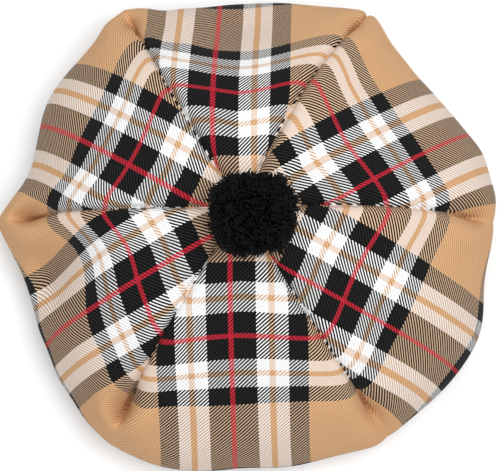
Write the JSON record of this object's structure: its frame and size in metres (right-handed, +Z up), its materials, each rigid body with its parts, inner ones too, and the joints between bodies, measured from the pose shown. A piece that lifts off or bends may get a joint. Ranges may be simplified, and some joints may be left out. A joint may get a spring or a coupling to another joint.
{
  "type": "tam o shanter",
  "caption": "Full soft bonnet of checked wool in six gores on a plain headband, with a black yarn pompom on the crown.",
  "frame": {"origin": "on the surface that the hat rests on, at the centre of its plan outline, which is the centre of the head opening", "axes": "+Z up through the crown, +X to the picture's right, +Y away from the picture's near side"},
  "size_m": [0.2869, 0.2712, 0.1525],
  "materials": {
    "checked_wool": "matte twill",
    "band_wool": "matte twill",
    "black_yarn": "cut wool yarn"
  },
  "bodies": {
    "root": {"gore_back_right": "checked_wool", "gore_back": "checked_wool", "gore_back_left": "checked_wool", "gore_front_left": "checked_wool", "gore_front": "checked_wool", "gore_front_right": "checked_wool", "headband": "band_wool", "pompom": "black_yarn"}
  },
  "joints": []
}
